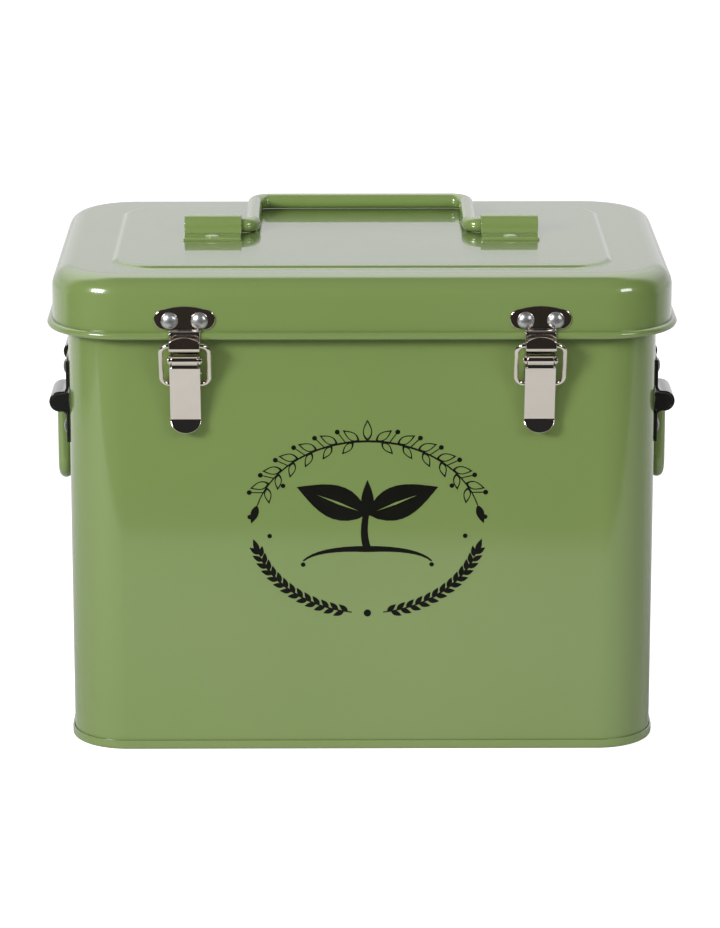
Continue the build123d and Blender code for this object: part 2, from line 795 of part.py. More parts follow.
# The bail is a closed wire loop from the lever's flanges up into the hook.
bail_rise = bail_top_v - bail_foot_v
bail_out = bail_top_u - bail_foot_u
bail_length = hypot(bail_rise, bail_out)
for side_name, side in SIDES:
    middle_y, middle_z = front_point(
        (bail_foot_u + bail_top_u) / 2, pin_z + (bail_foot_v + bail_top_v) / 2
    )
    bail_plane = Plane(
        origin=(side * latch_x, middle_y, middle_z),
        x_dir=(1, 0, 0),
        z_dir=(0, -bail_rise, -bail_out),
    )
    bail = loop_wire(
        bail_plane,
        bail_outer_width - 2 * bail_wire_radius,
        bail_length,
        bail_corner,
        bail_wire_radius,
        thin_wire_sides,
    )
    save(bail, f"latch_bail_{side_name}")

# ---------------------------------------------------------------- hinges
# Each hinge has a leaf on the wall with two outer knuckles and a leaf on the skirt with the middle
# one. The leaf on the skirt is cranked round the hem.
knuckle_inner = hinge_pin_radius + hinge_pin_fit
knuckle_outer = knuckle_inner + hinge_sheet
knuckle_width = hinge_width / knuckle_count
hem_outer_y = front_wall + lid_overhang + hem_proud + hem_gap
skirt_y = front_wall + lid_overhang
body_leaf_line = [
    (front_wall, hinge_axis_z - body_leaf_length),
    (front_wall, hinge_axis_z - body_leaf_turn_low),
    (hinge_axis_y - knuckle_outer, hinge_axis_z - body_leaf_turn_high),
    (hinge_axis_y - knuckle_outer, hinge_axis_z),
]
lid_leaf_line = [
    (hinge_axis_y + knuckle_outer - hinge_sheet, hinge_axis_z),
    (hem_outer_y, hinge_axis_z + lid_leaf_turn),
    (hem_outer_y, hem_z + lid_leaf_step_low),
    (skirt_y, hem_z + lid_leaf_step_high),
    (skirt_y, hinge_axis_z + lid_leaf_length),
]
for side_name, side in SIDES:
    left_end = side * hinge_x - hinge_width / 2
    middle_knuckle = left_end + knuckle_width
    with BuildPart() as body_leaf:
        with BuildSketch(Plane.YZ.offset(left_end)):
            add(sheet_strip(body_leaf_line, leaf_bend, hinge_sheet, Side.RIGHT))
            with Locations((hinge_axis_y, hinge_axis_z)):
                Circle(knuckle_outer)
                Circle(knuckle_inner, mode=Mode.SUBTRACT)
        extrude(amount=hinge_width)
        with BuildSketch(Plane.YZ.offset(middle_knuckle - knuckle_gap)):
            with Locations((hinge_axis_y, hinge_axis_z)):
                Rectangle(3 * knuckle_outer, 3 * knuckle_outer)
        extrude(amount=knuckle_width + 2 * knuckle_gap, mode=Mode.SUBTRACT)
        with BuildSketch(Plane.XZ.offset(-front_wall)):
            with Locations(*[(x, body_leaf_rivet_z) for x in hinge_rivet_x]):
                RegularPolygon(flat_shank_radius + rivet_fit, flat_rivet_sides)
        extrude(amount=-hinge_sheet, mode=Mode.SUBTRACT)
    save(body_leaf.part, f"hinge_body_leaf_{side_name}")

    with BuildPart() as lid_leaf:
        with BuildSketch(Plane.YZ.offset(left_end)):
            add(sheet_strip(lid_leaf_line, leaf_bend, hinge_sheet, Side.RIGHT))
        extrude(amount=hinge_width)
        with BuildSketch(Plane.YZ.offset(middle_knuckle)):
            with Locations((hinge_axis_y, hinge_axis_z)):
                Circle(knuckle_outer)
        extrude(amount=knuckle_width)
        for cut_start in (left_end, middle_knuckle + knuckle_width):
            with BuildSketch(Plane.YZ.offset(cut_start)):
                with Locations((hinge_axis_y, hinge_axis_z)):
                    Rectangle(3 * knuckle_outer, 2 * knuckle_outer + cut_margin)
            extrude(amount=knuckle_width, mode=Mode.SUBTRACT)
        with BuildSketch(Plane.YZ.offset(left_end)):
            with Locations((hinge_axis_y, hinge_axis_z)):
                Circle(knuckle_inner)
        extrude(amount=hinge_width, mode=Mode.SUBTRACT)
        with BuildSketch(Plane.XZ.offset(-skirt_y)):
            with Locations(*[(x, lid_leaf_rivet_z) for x in hinge_rivet_x]):
                RegularPolygon(flat_shank_radius + rivet_fit, flat_rivet_sides)
        extrude(amount=-hinge_sheet, mode=Mode.SUBTRACT)
    save(lid_leaf.part, f"hinge_lid_leaf_{side_name}")

    with BuildPart() as hinge_pin:
        with BuildSketch(Plane.YZ.offset(left_end)):
            with Locations((hinge_axis_y, hinge_axis_z)):
                Circle(hinge_pin_radius)
        extrude(amount=hinge_width)
    save(hinge_pin.part, f"hinge_pin_{side_name}")

rivet_set(
    "hinge_body_rivets",
    rivet(
        flat_rivet_radius, flat_rivet_dome, flat_shank_radius, hinge_sheet + wall_sheet, flat_rivet_sides
    ),
    [Plane(origin=(x, front_wall + hinge_sheet, body_leaf_rivet_z), z_dir=(0, 1, 0)) for x in hinge_rivet_x],
)
rivet_set(
    "hinge_lid_rivets",
    rivet(
        flat_rivet_radius, flat_rivet_dome, flat_shank_radius, hinge_sheet + lid_sheet, flat_rivet_sides
    ),
    [Plane(origin=(x, skirt_y + hinge_sheet, lid_leaf_rivet_z), z_dir=(0, 1, 0)) for x in hinge_rivet_x],
)
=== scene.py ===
import json
import math

import bmesh
import bpy
from mathutils import Matrix, Vector

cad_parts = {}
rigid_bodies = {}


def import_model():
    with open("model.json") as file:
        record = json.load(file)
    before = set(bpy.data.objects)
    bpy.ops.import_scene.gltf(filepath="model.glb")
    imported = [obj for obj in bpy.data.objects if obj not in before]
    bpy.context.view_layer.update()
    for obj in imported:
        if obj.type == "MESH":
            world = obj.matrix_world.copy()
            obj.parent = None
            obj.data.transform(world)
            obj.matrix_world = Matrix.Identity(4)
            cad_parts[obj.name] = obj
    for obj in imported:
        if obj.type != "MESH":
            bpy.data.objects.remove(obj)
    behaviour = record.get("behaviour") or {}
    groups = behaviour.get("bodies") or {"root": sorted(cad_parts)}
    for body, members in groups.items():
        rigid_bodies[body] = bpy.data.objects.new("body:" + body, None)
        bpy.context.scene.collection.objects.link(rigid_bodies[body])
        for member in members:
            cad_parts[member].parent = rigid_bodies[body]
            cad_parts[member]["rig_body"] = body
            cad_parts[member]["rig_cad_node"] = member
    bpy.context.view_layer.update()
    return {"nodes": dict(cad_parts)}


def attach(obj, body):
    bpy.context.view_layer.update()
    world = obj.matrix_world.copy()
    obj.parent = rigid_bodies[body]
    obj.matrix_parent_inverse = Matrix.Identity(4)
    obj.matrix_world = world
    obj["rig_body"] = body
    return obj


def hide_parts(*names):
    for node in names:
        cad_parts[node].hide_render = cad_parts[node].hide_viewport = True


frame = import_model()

# ---------------------------------------------------------------- can wall
# The wall of the can is one band of thin steel with round corners, lapped and flattened at the
# back, its top edge curled outward to a rolled rim. It is coated in gloss green enamel all over.
MM = 0.001


class Signal:
    """A shader socket that takes part in sums as a number does."""

    def __init__(self, tree, socket):
        self.tree = tree
        self.socket = socket

    def sum(self, operation, first, second):
        node = self.tree.nodes.new("ShaderNodeMath")
        node.operation = operation
        for place, value in enumerate((first, second)):
            if isinstance(value, Signal):
                self.tree.links.new(value.socket, node.inputs[place])
            else:
                node.inputs[place].default_value = value
        return Signal(self.tree, node.outputs[0])

    def __add__(self, other):
        return self.sum("ADD", self, other)

    def __radd__(self, other):
        return self.sum("ADD", other, self)

    def __sub__(self, other):
        return self.sum("SUBTRACT", self, other)

    def __rsub__(self, other):
        return self.sum("SUBTRACT", other, self)

    def __mul__(self, other):
        return self.sum("MULTIPLY", self, other)

    def __rmul__(self, other):
        return self.sum("MULTIPLY", other, self)

    def __abs__(self):
        return self.sum("ABSOLUTE", self, 0.0)

    def or_more(self, other):
        return self.sum("MAXIMUM", self, other)


class Finish:
    """One procedural finish: a Principled shader and the nodes that feed it."""

    def __init__(self, name, **constants):
        self.material = bpy.data.materials.new(name)
        self.material.use_nodes = True
        self.tree = self.material.node_tree
        self.shader = self.tree.nodes["Principled BSDF"]
        for socket, value in constants.items():
            self.shader.inputs[socket.replace("_", " ")].default_value = value
        self.place = self.node("ShaderNodeTexCoord", {}, {})["Object"]

    def node(self, kind, settings, sockets):
        """Add a node: its settings first, then the values or links of its sockets."""
        made = self.tree.nodes.new(kind)
        for setting, value in settings.items():
            if setting == "stops":
                ramp = made.color_ramp.elements
                while len(ramp) < len(value):
                    ramp.new(1.0)
                for stop, (position, shade) in zip(ramp, value):
                    stop.position = position
                    stop.color = shade if len(shade) == 4 else (*shade, 1.0)
            else:
                setattr(made, setting, value)
        for socket, value in sockets.items():
            if isinstance(value, Signal):
                self.tree.links.new(value.socket, made.inputs[socket])
            else:
                made.inputs[socket].default_value = value
        return {out.name: Signal(self.tree, out) for out in made.outputs if out.enabled}

    def noise(self, scale, detail=2.0, place=None):
        sockets = {"Vector": place or self.place, "Scale": scale, "Detail": detail}
        return self.node("ShaderNodeTexNoise", {}, sockets)["Fac"]

    def between(self, factor, first, second):
        """A colour between two colours."""
        made = self.tree.nodes.new("ShaderNodeMix")
        made.data_type = "RGBA"
        self.tree.links.new(factor.socket, made.inputs[0])
        for socket, shade in ((6, first), (7, second)):
            if isinstance(shade, Signal):
                self.tree.links.new(shade.socket, made.inputs[socket])
            else:
                made.inputs[socket].default_value = (*shade, 1.0)
        return Signal(self.tree, made.outputs[2])

    def ramp(self, value, low, high):
        """A value stretched so that low becomes 0 and high becomes 1."""
        sockets = {"Value": value, "From Min": low, "From Max": high}
        return self.node("ShaderNodeMapRange", {}, sockets)["Result"]

    def feed(self, socket, signal):
        self.tree.links.new(signal.socket, self.shader.inputs[socket])

    def bump(self, height, depth, strength=1.0):
        sockets = {"Height": height, "Distance": depth, "Strength": strength}
        self.feed("Normal", self.node("ShaderNodeBump", {}, sockets)["Normal"])


GREEN = ((0.176, 0.256, 0.074), (0.196, 0.272, 0.086))
END_SHADE_BLACK = (0.012, 0.012, 0.011)


def gloss_enamel(name, wave_depth, shades=GREEN, shade_beyond=None):
    """Gloss enamel: faint clouding of the colour, orange peel and the slow waves of thin sheet.

    Beyond a distance in mm to the front or the back, the colour turns near-black: painted shade.
    """
    enamel = Finish(name, IOR=1.5, Coat_Weight=1.0, Coat_Roughness=0.015, Coat_IOR=1.5)
    cloud = enamel.ramp(enamel.noise(7.0), 0.3, 0.7)
    colour = enamel.between(cloud, *shades)
    # Painted shade: near-black beyond the given distance to the front or back.
    if shade_beyond:
        along = enamel.node("ShaderNodeSeparateXYZ", {}, {"Vector": enamel.place})["Y"]
        end_shade = enamel.ramp(abs(along), (shade_beyond - 0.05) * MM, shade_beyond * MM)
        colour = enamel.between(end_shade, colour, END_SHADE_BLACK)
    enamel.feed("Base Color", colour)
    enamel.feed("Roughness", 0.16 + 0.1 * enamel.noise(35.0))
    peel_depth = 0.0000025
    peel = enamel.noise(420.0, 1.0)
    wave = enamel.noise(11.0, 1.0)
    enamel.bump(wave * wave_depth + peel * peel_depth, 1.0)
    return enamel.material


wall_enamel = gloss_enamel("wall_enamel", 0.0009)


def begin(name):
    """Name the newest primitive, put its place into its mesh and open it for editing."""
    piece = bpy.context.object
    piece.name = name
    bpy.ops.object.transform_apply(location=True, rotation=True, scale=True)
    bpy.ops.object.mode_set(mode="EDIT")
    return piece


def choose(piece, kind, test):
    """In edit mode, select only the edges, faces or vertices whose points pass the test."""
    bpy.ops.mesh.select_mode(type=kind)
    bpy.ops.mesh.select_all(action="DESELECT")
    cage = bmesh.from_edit_mesh(piece.data)
    parts = {"VERT": cage.verts, "EDGE": cage.edges, "FACE": cage.faces}[kind]
    for part in parts:
        points = [part.co / MM] if kind == "VERT" else [corner.co / MM for corner in part.verts]
        part.select_set(test(points))
    cage.select_flush_mode()
    bmesh.update_edit_mesh(piece.data)


def upright(points):
    return abs(points[0].z - points[1].z) > 1 and (points[0] - points[1]).xy.length < 0.01


def at_height(height):
    return lambda points: all(abs(point.z - height) < 0.01 for point in points)


def round_box(name, width, depth, corner, low, high, steps):
    """A box with round upright corners, open for editing."""
    bpy.ops.object.select_all(action="DESELECT")
    middle = (low + high) / 2
    bpy.ops.mesh.primitive_cube_add(
        size=MM, location=(0, 0, middle * MM), scale=(width, depth, high - low)
    )
    piece = begin(name)
    choose(piece, "EDGE", upright)
    bpy.ops.mesh.bevel(offset=corner * MM, segments=steps, affect="EDGES")
    return piece


def close(piece):
    """Merge doubled points, face everything outwards and leave edit mode."""
    bpy.ops.mesh.select_mode(type="VERT")
    bpy.ops.mesh.select_all(action="SELECT")
    bpy.ops.mesh.remove_doubles(threshold=0.001 * MM)
    bpy.ops.mesh.normals_make_consistent(inside=False)
    bpy.ops.object.mode_set(mode="OBJECT")


def apply(piece, kind, **settings):
    """Give the piece a modifier and apply it."""
    modifier = piece.modifiers.new(kind, kind)
    for setting, value in settings.items():
        setattr(modifier, setting, value)
    bpy.ops.object.modifier_apply(modifier=modifier.name)


def fit(piece, material, body, slot, *replaced):
    """Shade the piece so that its flats stay flat, and give it its finish, its body and its nodes."""
    bpy.ops.object.select_all(action="DESELECT")
    piece.select_set(True)
    bpy.context.view_layer.objects.active = piece
    bpy.ops.object.shade_smooth_by_angle(angle=math.radians(35))
    apply(piece, "WEIGHTED_NORMAL", keep_sharp=True)
    piece.data.materials.clear()
    piece.data.materials.append(material)
    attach(piece, body)
    if replaced:
        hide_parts(*replaced)


def draw_wire(name, start, heading, radius, course, sides=24, closed=False):
    """Draw wire: the ring of its section is pushed along runs and spun round bends.

    A run is a length. A bend is a radius, a turn in degrees and the axis that it turns about. It
    has a step for every 7 degrees or so, and 6 at least.
    """
    bpy.ops.object.select_all(action="DESELECT")
    bpy.ops.mesh.primitive_circle_add(
        vertices=sides,
        radius=radius * MM,
        location=Vector(start) * MM,
        rotation=Vector(heading).to_track_quat("Z", "Y").to_euler(),
        fill_type="NOTHING" if closed else "NGON",
    )
    return push(begin(name), start, heading, course)


def push(piece, start, heading, course):
    """Push the section that is open for editing along the course, and close the piece."""
    place = Vector(start)
    heading = Vector(heading).normalized()
    bpy.ops.mesh.select_all(action="SELECT")
    for step in course:
        if isinstance(step, tuple):
            bend, turn, axis = step
            axis = Vector(axis).normalized()
            side = axis.cross(heading) * (1 if turn > 0 else -1)
            centre = place + side * bend
            arc = math.radians(turn)
            steps = max(6, round(abs(turn) / 7))
            bpy.ops.mesh.spin(steps=steps, angle=-arc, center=centre * MM, axis=axis)
            spoke = place - centre
            place = centre + spoke * math.cos(arc) - spoke.cross(axis) * math.sin(arc)
            heading = heading * math.cos(arc) + axis.cross(heading) * math.sin(arc)
        else:
            place = place + heading * step
            bpy.ops.mesh.extrude_region_move(TRANSFORM_OT_translate={"value": heading * step * MM})
    close(piece)
    return piece


def ring_wire(name, width, depth, corner, height, radius, sides=24):
    """A closed wire round a rectangle with round corners."""
    turn = (corner, 90, (0, 0, 1))
    across = width - 2 * corner
    along = depth - 2 * corner
    course = [across / 2, turn, along, turn, across, turn, along, turn, across / 2]
    return draw_wire(name, (0, -depth / 2, height), (1, 0, 0), radius, course, sides, closed=True)


can_width = 237.7
can_depth = 153.0
can_corner = 22.8
can_foot = 0.8
can_top = 194.3
can_sheet = 0.8
can_wall = round_box("can_wall", can_width, can_depth, can_corner, can_foot, can_top, 22)
choose(can_wall, "FACE", lambda points: at_height(can_foot)(points) or at_height(can_top)(points))
bpy.ops.mesh.delete(type="FACE")
close(can_wall)
apply(can_wall, "SOLIDIFY", thickness=can_sheet * MM, offset=-1.0)
fit(can_wall, wall_enamel, "box", "green_enamel", "body_wall")

rim_wire = 1.8
rim_out = 0.85
rim_height = 194.232
can_rim = ring_wire(
    "can_rim",
    can_width + 2 * rim_out,
    can_depth + 2 * rim_out,
    can_corner + rim_out,
    rim_height,
    rim_wire,
)
fit(can_rim, wall_enamel, "box", "green_enamel")

seam_middle = Vector((0.0, 76.6, 98.4))
seam_size = (8.0, 1.0, 188.0)
seam_round = 0.45
bpy.ops.object.select_all(action="DESELECT")
bpy.ops.mesh.primitive_cube_add(size=MM, location=seam_middle * MM, scale=seam_size)
can_seam = begin("can_seam")
choose(can_seam, "EDGE", lambda points: upright(points) and points[0].y > seam_middle.y)
bpy.ops.mesh.bevel(offset=seam_round * MM, segments=4, affect="EDGES")
close(can_seam)
fit(can_seam, wall_enamel, "box", "green_enamel")

# ---------------------------------------------------------------- printed plants
# A thin black print decorates the front: a seedling on its mound, a garland of leaves and berries
# above it and ears of grain below it. Shapes are drawn flat in mm, X across and Y up the wall.
print_ink = Finish("print_ink", IOR=1.25)
ink_shade = print_ink.between(print_ink.noise(90.0), (0.003, 0.003, 0.002), (0.007, 0.007, 0.005))
print_ink.feed("Base Color", ink_shade)
print_ink.feed("Roughness", 0.3 + 0.12 * print_ink.noise(200.0))
ink_height = 0.04
ink_step = 0.0002
ink_line = 0.42
ink_middle = Vector((2.0, 94.0))
garland_half_width = 46.0
garland_half_height = 36.0


def ink_patch(*outlines):
    """Ink inside the first outline, left out inside the others.

    Each patch is a little thicker than the last, so that no two that cross share a face.
    """
    film = bpy.data.curves.new("ink", "CURVE")
    film.dimensions = "2D"
    film.fill_mode = "BOTH"
    film.extrude = ink_height + ink_step * len(bpy.data.curves)
    for outline in outlines:
        line = film.splines.new("POLY")
        line.use_cyclic_u = True
        line.points.add(len(outline) - 1)
        for spot, point in zip(line.points, outline):
            spot.co = (point.x, point.y, 0.0, 1.0)
    patch = bpy.data.objects.new("ink", film)
    bpy.context.scene.collection.objects.link(patch)
    patch.select_set(True)
    bpy.context.view_layer.objects.active = patch


def leaf_outline(base, tip, half_width):
    """A pointed leaf, widest a little below its middle."""
    spine = tip - base
    side = spine.orthogonal().normalized() * half_width
    steps = [step / 10 for step in range(11)]
    bulge = [math.sin(math.pi * step**0.8) for step in steps[1:-1]]
    left = [base + spine * step + side * out for step, out in zip(steps[1:-1], bulge)]
    right = [base + spine * step - side * out for step, out in zip(steps[1:-1], bulge)]
    return [base, *left, tip, *reversed(right)]


def leaf(base, tip, half_width, line=0.0):
    """A leaf. With a line width, only its edge is drawn."""
    outlines = [leaf_outline(base, tip, half_width)]
    if line:
        tuck = (tip - base).normalized() * line * 2.6
        outlines.append(leaf_outline(base + tuck, tip - tuck, half_width - line))
    ink_patch(*outlines)


def stem(path, first_width, last_width):
    """A stem along the points of a path, which changes its width evenly."""
    left = []
    right = []
    for index, point in enumerate(path):
        ahead = path[min(index + 1, len(path) - 1)] - path[max(index - 1, 0)]
        width = first_width + (last_width - first_width) * index / (len(path) - 1)
        side = ahead.orthogonal().normalized() * width / 2
        left.append(point + side)
        right.append(point - side)
    ink_patch([*left, *reversed(right)])


def bow_path(start, bend, end, steps=8):
    """Points of a curve that leaves the start towards the bend and comes from there to the end."""
    shares = [step / steps for step in range(steps + 1)]
    return [start * (1 - t) ** 2 + bend * 2 * t * (1 - t) + end * t**2 for t in shares]


def berry(centre, radius):
    turns = [step * math.tau / 18 for step in range(18)]
    ink_patch([centre + Vector((math.cos(turn), math.sin(turn))) * radius for turn in turns])


def garland_point(turn, mirror, upper):
    """A point of the oval on which the garlands lie, counted in degrees from its top or bottom."""
    turn = math.radians(turn)
    across = mirror * garland_half_width * math.sin(turn)
    up = upper * garland_half_height * math.cos(turn)
    return ink_middle + Vector((across, up))


def sprig(turn, mirror, upper, spread, length):
    """The base and the tip of a leaf beside the garland, its spread in degrees from the stem."""
    base = garland_point(turn, mirror, upper)
    along = (garland_point(turn + 1, mirror, upper) - base).normalized()
    along.rotate(Matrix.Rotation(-mirror * upper * math.radians(spread), 2))
    return base, base + along * length


dots = ((34.0, 17.5), (39.5, -3.5), (26.0, -15.5), (47.5, 4.5))
mound_top = ink_middle + Vector((0.0, -9.0))
leaf_foot = ink_middle + Vector((0.0, 5.5))
bud_foot = ink_middle + Vector((0.0, 4.0))
bud_tip = ink_middle + Vector((0.0, 20.0))
bpy.ops.object.select_all(action="DESELECT")
for mirror in (-1, 1):
    stem([garland_point(turn, mirror, 1) for turn in range(0, 76, 5)], 0.9, 0.45)
    for turn in range(4, 66, 11):
        leaf(*sprig(turn, mirror, 1, -38, 8.2), 1.75, ink_line)
        leaf(*sprig(turn + 3, mirror, 1, 42, 7.0), 1.5, ink_line)
        base, tip = sprig(turn + 7, mirror, 1, -62, 5.6)
        stem([base, tip], 0.45, 0.4)
        berry(tip, 1.0)
    leaf(*sprig(75, mirror, 1, 0, 8.0), 1.6)
    stem([garland_point(turn, mirror, -1) for turn in range(8, 73, 5)], 0.5, 0.9)
    for turn in range(10, 72, 5):
        leaf(*sprig(turn, mirror, -1, 33, 4.8), 1.05)
        leaf(*sprig(turn + 2, mirror, -1, -33, 4.8), 1.05)
    leaf(*sprig(73, mirror, -1, 0, 6.2), 1.15)
    for across, up in dots:
        berry(ink_middle + Vector((mirror * across, up)), 0.95)
    tip = ink_middle + Vector((mirror * 28.5, 17.0))
    vein = [leaf_foot + (tip - leaf_foot) * share for share in (0.12, 0.4, 0.72)]
    side = (tip - leaf_foot).orthogonal().normalized() * 0.5
    ink_patch(leaf_outline(leaf_foot, tip, 7.0), [vein[0], vein[1] + side, vein[2], vein[1] - side])
    mound_bend = ink_middle + Vector((mirror * 20.0, -8.5))
    mound_end = ink_middle + Vector((mirror * 26.0, -14.0))
    stem(bow_path(mound_top, mound_bend, mound_end), 2.6, 0.6)
leaf(bud_foot, bud_tip, 2.6)
garland_top = garland_point(0, 1, 1)
leaf(garland_top, garland_top + Vector((0.0, 9.0)), 1.9, ink_line)
berry(garland_point(0, 1, -1), 1.5)
stalk = bow_path(mound_top, ink_middle + Vector((-2.5, -2.0)), ink_middle + Vector((0.0, 8.0)))
stem(stalk, 3.2, 2.4)
bpy.ops.object.convert(target="MESH")
bpy.ops.object.join()
printed_plants = bpy.context.object
printed_plants.name = "printed_plants"
printed_plants.scale = (MM, MM, MM)
printed_plants.rotation_euler.x = math.radians(90)
printed_plants.location.y = -can_depth / 2 * MM
bpy.ops.object.transform_apply(location=True, rotation=True, scale=True)
fit(printed_plants, print_ink.material, "box", "green_enamel")

# ---------------------------------------------------------------- bottom pan
# The bottom is a shallow steel pan. Its edge is turned up outside the wall and pressed on, which
# leaves a thin band round the foot with a rolled lower edge.
pan_out = 0.95
pan_height = 3.9
pan_round = 1.2
pan_edge = 0.2
bottom_pan = round_box(
    "bottom_band",
    can_width + 2 * pan_out,
    can_depth + 2 * pan_out,
    can_corner + pan_out,
    0.0,
    pan_height,
    22,
)
choose(bottom_pan, "EDGE", at_height(0.0))
bpy.ops.mesh.bevel(offset=pan_round * MM, segments=4, affect="EDGES")
choose(bottom_pan, "FACE", at_height(pan_height))
bpy.ops.mesh.delete(type="FACE")
close(bottom_pan)
apply(bottom_pan, "SOLIDIFY", thickness=can_sheet * MM, offset=-1.0)
apply(
    bottom_pan,
    "BEVEL",
    width=pan_edge * MM,
    segments=2,
    limit_method="ANGLE",
    angle_limit=math.radians(50),
)
fit(bottom_pan, wall_enamel, "box", "green_enamel", "bottom_pan")

# ---------------------------------------------------------------- lid
# The lid is drawn from one sheet: a skirt, a soft round top edge and a raised panel. The skirt's
# lower edge is curled to a hem. The lid has the same enamel, but lies flatter than the wall.
lid_enamel = gloss_enamel("lid_enamel", 0.00012)

lid_width = 249.9
lid_depth = 165.2
lid_corner = 28.9
lid_foot = 175.0
lid_top = 198.6
lid_round = 9.1
lid_sheet = 0.8
lid_shell = round_box("lid_pressing", lid_width, lid_depth, lid_corner, lid_foot, lid_top, 24)
choose(lid_shell, "EDGE", at_height(lid_top))
bpy.ops.mesh.bevel(offset=lid_round * MM, segments=14, profile=0.53, affect="EDGES")
choose(lid_shell, "FACE", lambda points: at_height(lid_top)(points) or at_height(lid_foot)(points))
bpy.ops.mesh.delete(type="FACE")
close(lid_shell)

panel_width = 201.4
panel_depth = 125.7
panel_middle = -3.6
panel_corner = 17.0
panel_slope = 1.7
panel_rise = 1.25
panel_round = 0.75
bpy.ops.object.select_all(action="DESELECT")
bpy.ops.mesh.primitive_plane_add(size=MM, location=(0, panel_middle * MM, lid_top * MM))
bpy.context.object.scale = (panel_width, panel_depth, 1.0)
lid_panel = begin("lid_panel")
bpy.ops.mesh.select_all(action="SELECT")
bpy.ops.mesh.bevel(offset=panel_corner * MM, segments=24, affect="VERTICES")
bpy.ops.mesh.select_all(action="SELECT")
bpy.ops.mesh.inset(thickness=panel_slope * MM)
bpy.ops.transform.translate(value=(0, 0, panel_rise * MM))
bpy.ops.object.mode_set(mode="OBJECT")

bpy.ops.object.select_all(action="DESELECT")
lid_panel.select_set(True)
lid_shell.select_set(True)
bpy.context.view_layer.objects.active = lid_shell
bpy.ops.object.join()
bpy.ops.object.mode_set(mode="EDIT")
bpy.ops.mesh.select_mode(type="EDGE")
bpy.ops.mesh.select_all(action="DESELECT")
cage = bmesh.from_edit_mesh(lid_shell.data)
for edge in cage.edges:
    edge.select_set(edge.is_boundary and at_height(lid_top)([end.co / MM for end in edge.verts]))
bmesh.update_edit_mesh(lid_shell.data)
bpy.ops.mesh.bridge_edge_loops()


def on_panel(point):
    return abs(point.x) < panel_width / 2 + 1 and abs(point.y - panel_middle) < panel_depth / 2 + 1


def ends_of_slope(points):
    """Edges at the head or at the foot of the panel's slope."""
    at_foot = at_height(lid_top)(points) and all(on_panel(point) for point in points)
    return at_foot or at_height(lid_top + panel_rise)(points)


choose(lid_shell, "EDGE", ends_of_slope)
bpy.ops.mesh.bevel(offset=panel_round * MM, segments=5, affect="EDGES")
close(lid_shell)
apply(lid_shell, "SOLIDIFY", thickness=lid_sheet * MM, offset=-1.0)
fit(lid_shell, lid_enamel, "lid", "green_enamel", "lid_shell")

hem_wire = 1.56
hem_out = 0.74
lid_hem = ring_wire(
    "lid_hem",
    lid_width + 2 * hem_out,
    lid_depth + 2 * hem_out,
    lid_corner + hem_out,
    lid_foot,
    hem_wire,
)
fit(lid_hem, lid_enamel, "lid", "green_enamel")

# ---------------------------------------------------------------- saddle straps
# Strips of 1.2 mm steel are bent over the handles' ends and riveted on both sides. The two on the
# lid are enamelled green, painted lighter than the box as painted light from above. Those on the
# can's ends are gloss black, their outer ends closed by black caps painted as the shade inside.
# The fittings' green is the box's green painted about a sixth lighter: painted light from above.
GREEN_PAINTED_LIGHTER = ((0.205, 0.298, 0.086), (0.228, 0.316, 0.100))
BLACK = ((0.008, 0.008, 0.008), (0.014, 0.014, 0.013))
fitting_enamel_painted_lighter = gloss_enamel("fitting_enamel_painted_lighter", 0.00008, GREEN_PAINTED_LIGHTER)
black_enamel = gloss_enamel("black_enamel", 0.00008, BLACK)
strap_sheet = 1.2
strap_root = 2.6
strap_edge = 0.3


def draw_strap(name, start, heading, section, axis, flange, rise, hump):
    """Bend a strip: a flange, a root bend, the hump over the wire and the same back down."""
    bpy.ops.object.select_all(action="DESELECT")
    bpy.ops.mesh.primitive_plane_add(
        size=MM, location=Vector(start) * MM, rotation=Vector(heading).to_track_quat("Z", "Y").to_euler()
    )
    bpy.context.object.scale = (*section, 1.0)
    root = (strap_root, 90, axis)
    course = [flange, root, rise, (hump, -180, axis), rise, root, flange]
    strap = push(begin(name), start, heading, course)
    apply(
        strap,
        "BEVEL",
        width=strap_edge * MM,
        segments=3,
        limit_method="ANGLE",
        angle_limit=math.radians(50),
    )
    return strap


lid_strap_x = 61.45
lid_strap_front = -16.3
lid_strap_z = 200.3
lid_strap_width = 23.7
end_strap_x = 119.45
end_strap_y = 45.0
end_strap_foot = 124.4
end_strap_width = 22.0
drop_axis_x = 122.7
drop_axis_z = 141.4
